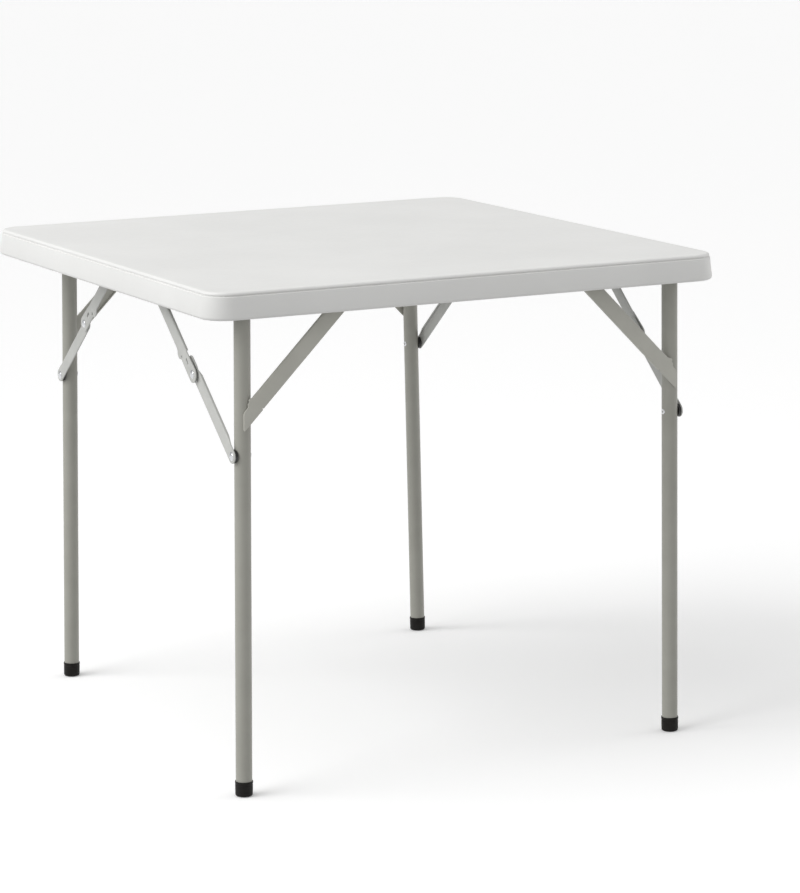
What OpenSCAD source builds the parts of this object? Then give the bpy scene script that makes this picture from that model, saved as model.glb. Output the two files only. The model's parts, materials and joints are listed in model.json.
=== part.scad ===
// Square folding table.
// A hollow moulded top carries two steel side rails.  Two leg frames turn in the rails on
// cross tubes, and a two-link brace on each leg holds its frame open.
// X runs left to right, Y front to back and Z up.  The origin is on the floor, under the
// middle of the top.

/* [Overall] */
// Width of the square top, edge to edge
top_size = 840; // [800:5:1100]
// Height of the top surface above the floor
table_h = 740; // [600:5:900]

/* [Moulded top] */
// Depth of the rim, from the top surface to its lower edge
rim_depth = 40; // [34:1:48]
// Width of the rim at its lower edge
rim_w = 14; // [12:1:18]
// Corner radius of the top seen from above
corner_r = 40; // [30:1:70]
// Thickness of the double-skinned slab inside the rim
slab_t = 16; // [14:1:18]
// Wall of the moulded skin
skin_t = 2.5; // [2:0.25:3.5]
// How far the side face leans out from the crease to the lower edge
side_draft = 3.5; // [1:0.5:5]
// Radius of the rolled edge round the top surface
roll_r = 7; // [5:0.5:9]
// Mouth diameter of a moulded tack-off in the underside
tack_d = 32; // [24:1:40]
// Spacing of the tack-offs
tack_pitch = 80; // [60:5:110]

/* [Leg frames] */
// Diameter of a leg tube
leg_d = 24; // [20:1:26]
// Wall of the leg and cross tubes
tube_wall = 1.5; // [1.2:0.1:2]
// Diameter of a cross tube, which is the fold axle
axle_d = 19; // [16:1:23]
// Distance from the edge of the top to the fold axis
axle_inset = 69; // [66:1:90]
// Distance from the edge of the top to a front leg, at the side
front_inset = 67; // [66:1:80]
// How far a front leg leans out sideways from top to foot
front_splay = 8; // [0:1:10]
// How far a rear leg leans out sideways from top to foot
rear_splay = 14; // [0:1:16]
// Height of a foot cap
foot_h = 23; // [18:1:30]

/* [Fixed corner braces] */
// Face width of a corner brace
brace_w = 24; // [20:1:28]
// Height of the brace's lower end below the top surface
brace_drop = 184; // [150:2:230]
// Sheet thickness of a brace
brace_t = 1.8; // [1.5:0.1:2]

/* [Folding braces] */
// Height of the leg rivet below the top surface
rivet_drop = 240; // [220:1:260]
// Distance from the fold axis to the upper link's pivot
pivot_reach = 220; // [200:1:230]
// Length of a front lower link, rivet to rivet
front_lower_link = 156.5; // [150:0.5:162]
// Length of a rear lower link, rivet to rivet
rear_lower_link = 155; // [150:0.5:162]
// Width of a link
link_w = 21; // [18:1:24]
// Sheet thickness of a link
link_t = 2; // [1.5:0.1:2.5]
// Diameter of the rivets and pivots
pin_d = 8; // [6:1:10]

/* [Side rails] */
// Width of a side rail
rail_w = 28; // [26:1:32]
// Sheet thickness of a rail
rail_t = 2; // [1.5:0.1:2.5]

/* [Hidden] */
$fn = 64;
EPS = 0.01;

// Colours
HDPE = [0.88, 0.88, 0.87];
STEEL = [0.66, 0.66, 0.62];
LINK_STEEL = [0.80, 0.81, 0.79];
BLACK = [0.12, 0.11, 0.10];
ZINC = [0.78, 0.79, 0.80];

// Clearances
running_gap = 0.08;   // radial play of an axle or pivot in its bore
side_gap = 0.3;       // between faces that turn against each other
layer_gap = 0.5;      // between sheets that slide past each other
roof_gap = 1;         // over the turning gussets inside a rail
rail_head_gap = 0.6;  // between a rail's wall and the rear knee rivets
leg_gap = 2.5;        // between a rear leg and the axle's surface
nest_step = 3;        // extra offset of the front legs, so that the frames nest when folded
lip_gap = 0.8;        // between a corner brace's lips and a nested rear leg
axle_end_gap = 2.1;   // between an axle plug and the inner face of a front lower link

// Small sizes shared by several pieces
gusset_wall = 1.5;    // ring of a gusset round the axle
rail_wall = 2.5;      // metal of a rail round the axle
plug_head = 1.6;      // cap of a tube plug
foot_wall = 1.5;      // wall of a foot cap
washer_t = 3;         // nylon washer between a leg and its link
link_lip = 4.5;       // full depth of a link's stiffening lip
head_t = 2.4;         // height of a rivet head
shoulder = 2;         // how far a shoulder stands out from its pin
head_rim = 2.5;       // how far a head stands out from its pin
axle_end = 3;         // how far an axle stands out past a rail

// Sizes taken from the driving dimensions
leg_r = leg_d / 2;
axle_r = axle_d / 2;
pin_r = pin_d / 2;
rail_end_r = axle_r + rail_wall;
rear_offset = leg_r + axle_r + leg_gap;
front_offset = rear_offset + nest_step;

// Levels and lines shared by several pieces
pivot_drop = 4;                          // from the fold axis down to the upper link's pivot
leg_rise = 6;                            // from the fold axis up to the end of a leg tube
rim_z = table_h - rim_depth;
under_z = table_h - slab_t;
axle_z = under_z - rail_t - roof_gap - gusset_wall - axle_r;
axle_y = top_size / 2 - axle_inset;
rail_z = axle_z - rail_end_r;
pivot_z = axle_z - pivot_drop;
pivot_y = axle_y - pivot_reach;
rivet_z = table_h - rivet_drop;
brace_z = table_h - brace_drop;
leg_top = axle_z + leg_rise;

// Leg, washer and links lie side by side, and the rails stand between the front and rear links
function splay_at(splay, z) = splay * (leg_top - z) / leg_top;
link_stack = link_t + layer_gap + link_lip;
leg_to_link = leg_r + washer_t + side_gap;
front_x = top_size / 2 - front_inset;
axle_half = front_x + splay_at(front_splay, rivet_z) + leg_to_link - axle_end_gap - plug_head;
rail_x = axle_half - axle_end - rail_w / 2;
rail_outer = rail_x + rail_w / 2;
rail_inner = rail_x - rail_w / 2;
rear_x = rail_inner - rail_head_gap - head_t - link_stack - leg_to_link - splay_at(rear_splay, rivet_z);

// A frame is described by [leg x at the top, splay, leg offset from the axle, lower link length]
FRONT = [front_x, front_splay, front_offset, front_lower_link];
REAR = [rear_x, rear_splay, rear_offset, rear_lower_link];

function leg_x(f, z) = f[0] + splay_at(f[1], z);
function leg_y(f) = -(axle_y + f[2]);
function tilt(f) = atan(f[1] / leg_top);

// Inner faces of the lower and the upper link
function lower_face(f) = leg_x(f, rivet_z) + leg_to_link;
function upper_face(f) = lower_face(f) + link_stack - link_t;

// Straight line from the leg rivet to the upper pivot, and the knee on it
function span_y(f) = -pivot_y - leg_y(f);
span_z = pivot_z - rivet_z;
function span(f) = sqrt(pow(span_y(f), 2) + pow(span_z, 2));
function lean(f) = atan2(span_z, span_y(f));
function knee_y(f) = leg_y(f) + f[3] * cos(lean(f));
function knee_z(f) = rivet_z + f[3] * sin(lean(f));
function upper_link(f) = span(f) - f[3];

// Pieces are drawn for the front right corner and mirrored to the other three
module corner(left, rear) {
    mirror([left ? 1 : 0, 0, 0]) mirror([0, rear ? 1 : 0, 0]) children();
}

module both_sides(rear) {
    for (left = [false, true]) corner(left, rear) children();
}

// Places children with Z along the leg's own centre line, starting at the floor
module along_leg(f) {
    translate([leg_x(f, 0), leg_y(f), 0]) rotate([0, -tilt(f), 0]) children();
}

// Turns children so that their Z axis runs along +X
module along_x(x, y, z) {
    translate([x, y, z]) rotate([0, 90, 0]) children();
}

// ---- Moulded top ----------------------------------------------------------------------

// Sweeps an outline of [distance from the corner centre, height] round the rounded square
module sweep_round(outline) {
    reach = top_size / 2 - corner_r;
    for (turn = [0:3]) rotate([0, 0, 90 * turn]) {
        translate([reach, reach, 0]) rotate_extrude(angle = 90) polygon(outline);
        translate([reach, reach, 0]) rotate([90, 0, 0]) linear_extrude(2 * reach) polygon(outline);
    }
}

// Points along an arc, from angle a0 to angle a1
function arc(cx, cz, r, a0, a1, steps) = [
    for (i = [0:steps]) let (a = a0 + (a1 - a0) * i / steps) [cx + r * cos(a), cz + r * sin(a)]
];

crease_step = 0.9;                       // small ledge under the rolled edge
lip_r = 5;                               // rounding of the lower edge
inner_draft = 3;                         // lean of the rim's inner wall
roll_x = corner_r - side_draft - crease_step - roll_r;
crease_z = table_h - roll_r;

function top_outline() = concat(
    [[0, under_z], [0, table_h]],
    arc(roll_x, crease_z, roll_r, 90, 0, 5),
    [[roll_x + roll_r + crease_step, crease_z - crease_step]],
    arc(corner_r - lip_r, rim_z + lip_r, lip_r, 0, -90, 5),
    [[corner_r - rim_w, rim_z], [corner_r - rim_w - inner_draft, under_z]]
);

function cavity_outline() = [
    [0, under_z + skin_t], [0, table_h - skin_t],
    [roll_x, table_h - skin_t],
    [roll_x + roll_r - skin_t, crease_z],
    [corner_r - skin_t, rim_z + lip_r],
    [corner_r - lip_r, rim_z + skin_t],
    [corner_r - rim_w + skin_t, rim_z + skin_t],
    [corner_r - rim_w - inner_draft + skin_t, under_z + skin_t]
];

// Screw places along a rail
screw_inset = 40;
screw_y = [for (s = [-1, 1]) for (k = [1, 3, 5]) s * k * (axle_y - screw_inset) / 5];
screw_d = 4.2;
screw_len = 12;
boss_d = 14;

module at_screws() {
    for (side = [-1, 1]) for (y = screw_y) translate([side * rail_x, y, under_z]) children();
}

// Rows of tack-offs fill the underside between the rails
tack_side_margin = 8;
tack_end_margin = 20;
tack_span_x = rail_inner - tack_d / 2 - tack_side_margin;
tack_span_y = top_size / 2 - rim_w - inner_draft - tack_d / 2 - tack_end_margin;
tack_nx = floor(tack_span_x / tack_pitch - 0.5);
tack_ny = floor(tack_span_y / tack_pitch - 0.5);
tack_floor_d = tack_d * 0.55;

module at_tacks() {
    for (i = [-tack_nx - 1:tack_nx]) for (j = [-tack_ny - 1:tack_ny])
        translate([(i + 0.5) * tack_pitch, (j + 0.5) * tack_pitch, under_z]) children();
}

module tabletop() {
    reach = top_size / 2 - corner_r;
    tack_depth = slab_t - skin_t;
    blow_hole_d = 6;
    color(HDPE) difference() {
        union() {
            sweep_round(top_outline());
            translate([-reach, -reach, under_z]) cube([2 * reach, 2 * reach, slab_t]);
        }
        difference() {
            union() {
                sweep_round(cavity_outline());
                translate([-reach, -reach, under_z + skin_t])
                    cube([2 * reach, 2 * reach, slab_t - 2 * skin_t]);
            }
            at_tacks()
                cylinder(h = slab_t, d1 = tack_d + 2 * skin_t, d2 = tack_floor_d + 2 * skin_t);
            at_screws() cylinder(h = slab_t - skin_t, d = boss_d);
        }
        at_tacks() translate([0, 0, -EPS]) cylinder(h = tack_depth + EPS, d1 = tack_d, d2 = tack_floor_d);
        at_screws() translate([0, 0, -EPS]) cylinder(h = screw_len + EPS, d = screw_d);
        // blow pin hole left by moulding
        translate([0, 0, under_z - EPS]) cylinder(h = skin_t + 1, d = blow_hole_d);
    }
}

// ---- Side rails -----------------------------------------------------------------------

// Side view of a rail: a long bar with a round lower corner at each end
module rail_side() {
    translate([-axle_y, rail_z]) square([2 * axle_y, under_z - rail_z]);
    for (s = [-1, 1]) {
        translate([s * axle_y, axle_z]) circle(rail_end_r);
        translate([s * axle_y - rail_end_r, axle_z]) square([2 * rail_end_r, under_z - axle_z]);
    }
}

// Stands a Y-Z outline up and gives it a thickness along X
module plate_x(x, t) {
    translate([x, 0, 0]) rotate([90, 0, 90]) linear_extrude(t) children();
}

// Channel, open below, with its roof against the underside of the top
module rail(left) {
    color(STEEL) corner(left, false) difference() {
        plate_x(rail_inner, rail_w) rail_side();
        translate([rail_inner + rail_t, -top_size, rail_z - 1])
            cube([rail_w - 2 * rail_t, 2 * top_size, under_z - rail_t - rail_z + 1]);
        for (s = [-1, 1]) {
            along_x(rail_inner - 1, s * axle_y, axle_z) cylinder(h = rail_w + 2, r = axle_r + running_gap);
            along_x(rail_inner - 1, s * pivot_y, pivot_z) cylinder(h = rail_w + 2, r = pin_r);
        }
        for (y = screw_y) translate([rail_x, y, under_z - rail_t - 1]) cylinder(h = rail_t + 2, d = screw_d);
    }
}

module rail_screws() {
    screw_head_h = 2.4;
    screw_head_d = 9;
    slot = [5, 1, 1.4];
    color(ZINC) at_screws() translate([0, 0, -rail_t]) difference() {
        union() {
            cylinder(h = rail_t + screw_len - 1, d = screw_d);
            translate([0, 0, -screw_head_h])
                cylinder(h = screw_head_h, d1 = screw_head_d - 2.5, d2 = screw_head_d);
        }
        for (a = [0, 90]) rotate([0, 0, a])
            translate([-slot[0] / 2, -slot[1] / 2, -screw_head_h - EPS]) cube(slot);
    }
}

// Shouldered pin riveted into a rail's wall.  An upper link turns on it, between shoulder and head
module pivot_pin(wall_x, facing, reach) {
    riveted_end = 1;
    translate([wall_x, -pivot_y, pivot_z]) rotate([0, 90 * facing, 0]) {
        translate([0, 0, -rail_t - riveted_end])
            cylinder(h = rail_t + riveted_end + reach + link_t + head_t / 2, r = pin_r);
        cylinder(h = reach - side_gap, r = pin_r + shoulder);
        translate([0, 0, reach + link_t + side_gap])
            cylinder(h = head_t, r1 = pin_r + head_rim, r2 = pin_r + shoulder / 2);
    }
}

module brace_pivot_pins() {
    color(ZINC) for (left = [false, true]) {
        corner(left, false) pivot_pin(rail_outer, 1, upper_face(FRONT) - rail_outer);
        corner(left, true) pivot_pin(rail_inner, -1, rail_inner - upper_face(REAR) - link_t);
    }
}

// ---- Leg frames -----------------------------------------------------------------------

sole_t = 4;                              // thickness of a foot cap under the tube

module axle(rear) {
    color(STEEL) corner(false, rear) along_x(-axle_half, -axle_y, axle_z) difference() {
        cylinder(h = 2 * axle_half, r = axle_r);
        translate([0, 0, -1]) cylinder(h = 2 * axle_half + 2, r = axle_r - tube_wall);
    }
}

// Plug with a stem in the tube and a low cap on its end, drawn from the end of the tube
module tube_plug(tube_r) {
    stem = 10;
    translate([0, 0, -stem]) cylinder(h = stem + plug_head / 2, r = tube_r - tube_wall);
    cylinder(h = plug_head, r1 = tube_r, r2 = tube_r - 1);
}

module axle_plugs(rear) {
    color(BLACK) both_sides(rear) along_x(axle_half, -axle_y, axle_z) tube_plug(axle_r);
}

module leg(f, left, rear) {
    length = leg_top / cos(tilt(f));
    color(STEEL) corner(left, rear) difference() {
        along_leg(f) translate([0, 0, sole_t]) cylinder(h = length - sole_t, r = leg_r);
        along_leg(f) translate([0, 0, sole_t - 1]) cylinder(h = length, r = leg_r - tube_wall);
        along_x(leg_x(f, rivet_z) - 2 * leg_r, leg_y(f), rivet_z) cylinder(h = 4 * leg_r, r = pin_r);
    }
}

module leg_caps(f, rear) {
    color(BLACK) both_sides(rear) along_leg(f) translate([0, 0, leg_top / cos(tilt(f))]) tube_plug(leg_r);
}

// Black foot cap: a cup with a stepped rim and a rounded sole, cut level with the floor
module foot(f, left, rear) {
    foot_r = leg_r + foot_wall;
    sole_round = 3;
    rim_step = 0.4;
    rim_h = 2.4;
    color(BLACK) corner(left, rear) difference() {
        along_leg(f) difference() {
            rotate_extrude() polygon(concat(
                [[0, -1], [foot_r - sole_round - 1, -1]],
                arc(foot_r - sole_round, sole_round, sole_round, -60, 0, 4),
                [[foot_r - 2 * rim_step, foot_h - rim_h - rim_step], [foot_r - rim_step, foot_h - rim_h],
                 [foot_r - rim_step, foot_h - 2 * rim_step], [foot_r - 2 * rim_step, foot_h], [0, foot_h]]
            ));
            translate([0, 0, sole_t]) cylinder(h = foot_h, r = leg_r);
        }
        translate([leg_x(f, 0) - 2 * foot_r, leg_y(f) - 2 * foot_r, -10]) cube([4 * foot_r, 4 * foot_r, 10]);
    }
}

// Fixed 45 degree brace across the leg's outer face, with turned-in lips along both edges
brace_face = 2.2;                        // outer face of the sheet beyond the leg's surface
brace_lip = brace_face + nest_step - lip_gap;  // full depth of the lips
lip_start = leg_d;                       // lips begin clear of the leg tube

// Block in the brace's own directions: along it from the leg, out from the leg's face, half width
module brace_bar(f, x0, x1, y0, y1, half_w) {
    translate([leg_x(f, brace_z), leg_y(f) - leg_r, brace_z]) rotate([0, -135, 0])
        translate([x0, -y1, -half_w]) cube([x1 - x0, y1 - y0, 2 * half_w]);
}

module corner_brace(f, left, rear) {
    half = brace_w / 2;
    inner_face = brace_face - brace_t;
    far_end = (axle_z - brace_z) * sqrt(2) + brace_w;
    saddle_end = 0.4 * half;
    saddle_depth = 0.8 * leg_r;
    color(STEEL) corner(left, rear) union() {
        // sheet and lips, trimmed level above the axle
        intersection() {
            difference() {
                union() {
                    brace_bar(f, 0, far_end, inner_face, brace_face, half);
                    difference() {
                        brace_bar(f, lip_start, far_end, brace_face - brace_lip, brace_face, half);
                        brace_bar(f, lip_start - 1, far_end + 1, -brace_lip, inner_face, half - brace_t);
                    }
                }
                along_leg(f) cylinder(h = leg_top, r = leg_r);
            }
            translate([0, -top_size / 2, 0]) cube([top_size / 2, top_size / 2, leg_top]);
        }
        // saddle that wraps round the leg
        intersection() {
            along_leg(f) difference() {
                cylinder(h = leg_top, r = leg_r + brace_face);
                translate([0, 0, -1]) cylinder(h = leg_top + 2, r = leg_r);
            }
            brace_bar(f, -saddle_end, lip_start, -saddle_depth, brace_face + 1, half);
        }
    }
}

// Plates that weld the legs and the corner braces to the axle
module gusset_outline(depth) {
    plate_h = 13;
    plate_low = 8;
    difference() {
        union() {
            translate([-axle_y, axle_z]) circle(axle_r + gusset_wall);
            translate([-axle_y - depth, axle_z - plate_low]) square([depth, plate_h]);
        }
        translate([-axle_y, axle_z]) circle(axle_r);
    }
}

module gussets(f, rear) {
    leg_plate = 13;
    brace_plate = 3;
    brace_x = leg_x(f, brace_z) - (axle_z - brace_z);
    leg_plate_x = rear ? f[0] : rail_x;
    color(STEEL) both_sides(rear) {
        difference() {
            plate_x(leg_plate_x - leg_plate / 2, leg_plate) gusset_outline(f[2]);
            along_leg(f) cylinder(h = 2 * leg_top, r = leg_r);
        }
        plate_x(brace_x - brace_plate / 2, brace_plate) gusset_outline(f[2] + leg_r + brace_face - brace_t);
    }
}

// Through rivet: a low head bedded on the inside of the leg and a shank that stops in the washer
module leg_rivets(f, rear) {
    inner_head = 1;
    set_back = 0.1;
    color(ZINC) both_sides(rear) {
        difference() {
            along_x(leg_x(f, rivet_z) - leg_r - inner_head, leg_y(f), rivet_z)
                cylinder(h = leg_r, r = pin_r + shoulder / 2);
            along_leg(f) cylinder(h = 2 * leg_top, r = leg_r);
        }
        along_x(leg_x(f, rivet_z) - leg_r - inner_head / 2, leg_y(f), rivet_z)
            cylinder(h = 2 * leg_r + inner_head / 2 + washer_t - set_back, r = pin_r);
    }
}

// Saddle washers that seat on the round of the leg
module leg_washers(f, rear) {
    washer_r = link_w / 2 - 0.9;
    saddle = 1;
    color(BLACK) both_sides(rear) difference() {
        along_x(leg_x(f, rivet_z) + leg_r - saddle, leg_y(f), rivet_z) difference() {
            cylinder(h = saddle + washer_t, r = washer_r);
            translate([0, 0, -1]) cylinder(h = saddle + washer_t + 2, r = pin_r);
        }
        along_leg(f) cylinder(h = 2 * leg_top, r = leg_r);
    }
}

// ---- Folding braces -------------------------------------------------------------------

// Places a link's own outline in the plane of the brace, from its first pivot
module in_brace(x, y, z, angle) {
    translate([x, y, z]) rotate([angle, 0, 0]) rotate([90, 0, 90]) children();
}

// Stiffening lip along a link's upper edge, turned in towards the leg
module link_edge(from, to) {
    translate([from, link_w / 2 - link_t, link_t - link_lip])
        cube([to - from, link_t, link_lip - link_t / 2]);
}

// Knee end of the upper link, seen from outside, with the knee at its origin
plate_r = link_w / 2 + 2;
plate_len = 40;
bulge_r = 10;
knee_hole_r = 2.2;
knee_hole_v = -7;
slot_at = [24, 1.5];
slot_r = 1.6;
slot_half = 3;
slot_turn = 8;
upper_lip_start = 36;
upper_lip_stop = 14;

module upper_link_outline(length) {
    half = link_w / 2;
    difference() {
        union() {
            circle(plate_r);
            polygon([[0, -plate_r], [plate_len, -half - 1], [plate_len, half], [0, plate_r]]);
            translate([plate_len + bulge_r / 2, knee_hole_v + 0.5]) circle(bulge_r);
            translate([0, -half]) square([length, link_w]);
            translate([length, 0]) circle(half);
        }
        circle(pin_r);
        translate([length, 0]) circle(pin_r + running_gap);
        translate([plate_len, knee_hole_v]) circle(knee_hole_r);
        translate(slot_at) rotate(slot_turn) {
            for (s = [-1, 1]) translate([s * slot_half, 0]) circle(slot_r);
            translate([-slot_half, -slot_r]) square([2 * slot_half, 2 * slot_r]);
        }
    }
}

module upper_link_body(f, left, rear) {
    length = upper_link(f);
    color(LINK_STEEL) corner(left, rear) in_brace(upper_face(f), knee_y(f), knee_z(f), lean(f)) {
        linear_extrude(link_t) upper_link_outline(length);
        link_edge(upper_lip_start, length - upper_lip_stop);
    }
}

// The lower link runs on past the knee, to lock behind the upper one
tail = 30;
tail_r = 8;
tail_low = 2;
tail_rise = 1.5;
lower_lip_start = 26;
lower_lip_stop = 2;

module lower_link_outline(length) {
    half = link_w / 2;
    difference() {
        union() {
            circle(half);
            translate([0, -half]) square([length, link_w]);
            translate([length, 0]) circle(half);
            translate([length, -tail_low]) square([tail - tail_rise, half + tail_rise + tail_low]);
            translate([length + tail - tail_r, half + tail_rise - tail_r]) circle(tail_r);
        }
        circle(pin_r);
        translate([length, 0]) circle(pin_r + running_gap);
    }
}

module lower_link_body(f, left, rear) {
    length = f[3];
    color(LINK_STEEL) corner(left, rear) in_brace(lower_face(f), leg_y(f), rivet_z, lean(f)) {
        linear_extrude(link_t) lower_link_outline(length);
        link_edge(lower_lip_start, length - lower_lip_stop);
    }
}

// Low domed head standing on a face at x
module rivet_head(x, y, z) {
    r = pin_r + head_rim;
    neck = 0.5;
    dome_r = (r * r + head_t * head_t) / (2 * head_t);
    rim_angle = asin((dome_r - head_t) / dome_r);
    along_x(x, y, z) rotate_extrude() polygon(concat(
        [[0, -neck], [pin_r - neck, -neck], [pin_r - neck, 0], [r, 0]],
        arc(0, head_t - dome_r, dome_r, rim_angle + 8, 82, 5),
        [[0, head_t]]
    ));
}

// Knee rivet: fixed in the upper link, turning in the lower one, with a spacer collar between them
module knee_rivet(f, left, rear) {
    inner = lower_face(f);
    outer = upper_face(f) + link_t;
    inner_head = 1.6;
    color(ZINC) corner(left, rear) {
        along_x(inner - side_gap - inner_head, knee_y(f), knee_z(f)) {
            cylinder(h = inner_head, r1 = pin_r + shoulder / 2, r2 = pin_r + shoulder);
            cylinder(h = outer - inner + side_gap + inner_head, r = pin_r);
        }
        along_x(inner + link_t + side_gap, knee_y(f), knee_z(f))
            cylinder(h = upper_face(f) - inner - link_t - side_gap, r = pin_r + shoulder);
        rivet_head(outer, knee_y(f), knee_z(f));
    }
}

// Outer end of the leg rivet, which stays in the lower link's eye
module link_rivet(f, left, rear) {
    face = lower_face(f);
    color(ZINC) corner(left, rear) {
        along_x(face, leg_y(f), rivet_z) cylinder(h = link_t, r = pin_r);
        rivet_head(face + link_t, leg_y(f), rivet_z);
    }
}

tabletop();
rail(true);  // left_rail
rail(false);  // right_rail
rail_screws();
brace_pivot_pins();
axle(false);  // front_axle
axle_plugs(false);  // front_axle_plugs
leg(FRONT, true, false);  // front_left_leg
leg(FRONT, false, false);  // front_right_leg
leg_caps(FRONT, false);  // front_leg_caps
corner_brace(FRONT, true, false);  // front_left_corner_brace
corner_brace(FRONT, false, false);  // front_right_corner_brace
gussets(FRONT, false);  // front_gussets
foot(FRONT, true, false);  // front_left_foot
foot(FRONT, false, false);  // front_right_foot
leg_rivets(FRONT, false);  // front_leg_rivets
leg_washers(FRONT, false);  // front_leg_washers
axle(true);  // rear_axle
axle_plugs(true);  // rear_axle_plugs
leg(REAR, true, true);  // rear_left_leg
leg(REAR, false, true);  // rear_right_leg
leg_caps(REAR, true);  // rear_leg_caps
corner_brace(REAR, true, true);  // rear_left_corner_brace
corner_brace(REAR, false, true);  // rear_right_corner_brace
gussets(REAR, true);  // rear_gussets
foot(REAR, true, true);  // rear_left_foot
foot(REAR, false, true);  // rear_right_foot
leg_rivets(REAR, true);  // rear_leg_rivets
leg_washers(REAR, true);  // rear_leg_washers
upper_link_body(FRONT, true, false);  // front_left_upper_link
lower_link_body(FRONT, true, false);  // front_left_lower_link
knee_rivet(FRONT, true, false);  // front_left_knee_rivet
link_rivet(FRONT, true, false);  // front_left_link_rivet
upper_link_body(FRONT, false, false);  // front_right_upper_link
lower_link_body(FRONT, false, false);  // front_right_lower_link
knee_rivet(FRONT, false, false);  // front_right_knee_rivet
link_rivet(FRONT, false, false);  // front_right_link_rivet
upper_link_body(REAR, true, true);  // rear_left_upper_link
lower_link_body(REAR, true, true);  // rear_left_lower_link
knee_rivet(REAR, true, true);  // rear_left_knee_rivet
link_rivet(REAR, true, true);  // rear_left_link_rivet
upper_link_body(REAR, false, true);  // rear_right_upper_link
lower_link_body(REAR, false, true);  // rear_right_lower_link
knee_rivet(REAR, false, true);  // rear_right_knee_rivet
link_rivet(REAR, false, true);  // rear_right_link_rivet
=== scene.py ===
# %% [markdown]
# # A square folding table
# The table is a hollow moulded top on two steel leg frames that fold flat under it.  The frame
# below is the exact engineering model.  Each cell takes one kind of piece, says what it is on the
# real table, and builds the version that is seen.  Everything is in metres.

# %% Load the fixed frame
import json
import math
from collections import namedtuple
import bmesh
import bpy
from mathutils import Matrix, Vector


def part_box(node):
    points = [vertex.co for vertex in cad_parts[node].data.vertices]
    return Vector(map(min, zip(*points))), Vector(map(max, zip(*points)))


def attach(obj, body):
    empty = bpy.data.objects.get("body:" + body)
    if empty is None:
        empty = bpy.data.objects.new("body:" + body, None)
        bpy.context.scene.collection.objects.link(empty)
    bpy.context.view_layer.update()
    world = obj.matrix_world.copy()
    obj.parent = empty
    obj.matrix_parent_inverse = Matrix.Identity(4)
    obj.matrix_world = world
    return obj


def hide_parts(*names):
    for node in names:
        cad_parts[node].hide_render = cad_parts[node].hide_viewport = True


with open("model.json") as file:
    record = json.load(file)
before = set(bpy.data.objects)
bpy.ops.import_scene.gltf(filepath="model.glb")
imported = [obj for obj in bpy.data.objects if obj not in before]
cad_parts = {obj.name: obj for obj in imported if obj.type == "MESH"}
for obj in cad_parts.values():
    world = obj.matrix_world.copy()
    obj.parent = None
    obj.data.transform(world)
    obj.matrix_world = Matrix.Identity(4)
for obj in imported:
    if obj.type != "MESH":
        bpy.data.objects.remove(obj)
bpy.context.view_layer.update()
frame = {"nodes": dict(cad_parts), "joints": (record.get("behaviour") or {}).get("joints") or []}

MM = 0.001
joints = {j["name"]: j for j in frame["joints"]}

# %% [markdown]
# ## The camera comes first
# The view decides which details matter, so it is set before anything is made.  A long lens from
# about five metres away keeps the perspective flat and the upright legs nearly parallel.

# %% Camera
EYE = Vector((-2.376, -4.741, 1.445))
YAW, TILT_DOWN, ROLL = math.radians(27.51), math.radians(11.0), math.radians(-0.35)
LENS, SENSOR_W = 139.3, 36

camera = bpy.data.objects.new("camera", bpy.data.cameras.new("camera"))
bpy.context.scene.collection.objects.link(camera)
camera.data.sensor_width = SENSOR_W
camera.data.lens = LENS
look = Vector((
    math.sin(YAW) * math.cos(TILT_DOWN), math.cos(YAW) * math.cos(TILT_DOWN), -math.sin(TILT_DOWN),
))
camera.rotation_mode = "QUATERNION"
camera.rotation_quaternion = look.to_track_quat("-Z", "Y") @ Matrix.Rotation(ROLL, 3, "Z").to_quaternion()
camera.location = EYE
camera.data.clip_end = 200
bpy.context.scene.camera = camera
print("camera at", tuple(round(c, 3) for c in EYE), "lens", LENS, "mm")

# %% [markdown]
# ## Shader groups
# Several finishes share the same small effects: slow colour drift, a fine pebble or orange-peel
# grain, lighter edges that are partly wear and partly a painted highlight, and rubbed streaks.  Each is
# a node group with named sockets that is built once.  A group gives out only a colour, a mask or a
# height.  The Principled shader stays in the material.

# %% Helpers for node groups
def new_group(name, inputs, output, kind):
    """An empty group with named inputs (label, kind, value) and one output, and its two end nodes."""
    group = bpy.data.node_groups.new(name, "ShaderNodeTree")
    for label, socket, value in inputs:
        group.interface.new_socket(label, in_out="INPUT", socket_type=socket).default_value = value
    group.interface.new_socket(output, in_out="OUTPUT", socket_type=kind)
    return group, group.nodes.new("NodeGroupInput"), group.nodes.new("NodeGroupOutput")


def add_node(tree, kind, links=(), **settings):
    """Adds a node, sets its properties or its input values, and links sockets into its inputs."""
    node = tree.nodes.new(kind)
    for key, value in settings.items():
        setattr(node, key, value)
    for socket, source in links:
        if isinstance(source, bpy.types.NodeSocket):
            tree.links.new(source, node.inputs[socket])
        else:
            node.inputs[socket].default_value = source
    return node


def inverse_of(tree, size):
    """The scale of a texture whose features have the given size."""
    return add_node(tree, "ShaderNodeMath", [(0, 1.0), (1, size)], operation="DIVIDE").outputs[0]


def mix_colours(tree, mask, first, second):
    """Blends two colours by a mask.  The node repeats its socket names, so they go by number."""
    factor, colour_a, colour_b, result = 0, 6, 7, 2
    blend = add_node(tree, "ShaderNodeMix", [
        (factor, mask), (colour_a, first), (colour_b, second),
    ], data_type="RGBA")
    return blend.outputs[result]


FLOAT, COLOUR = "NodeSocketFloat", "NodeSocketColor"
print("node helpers ready")

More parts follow.
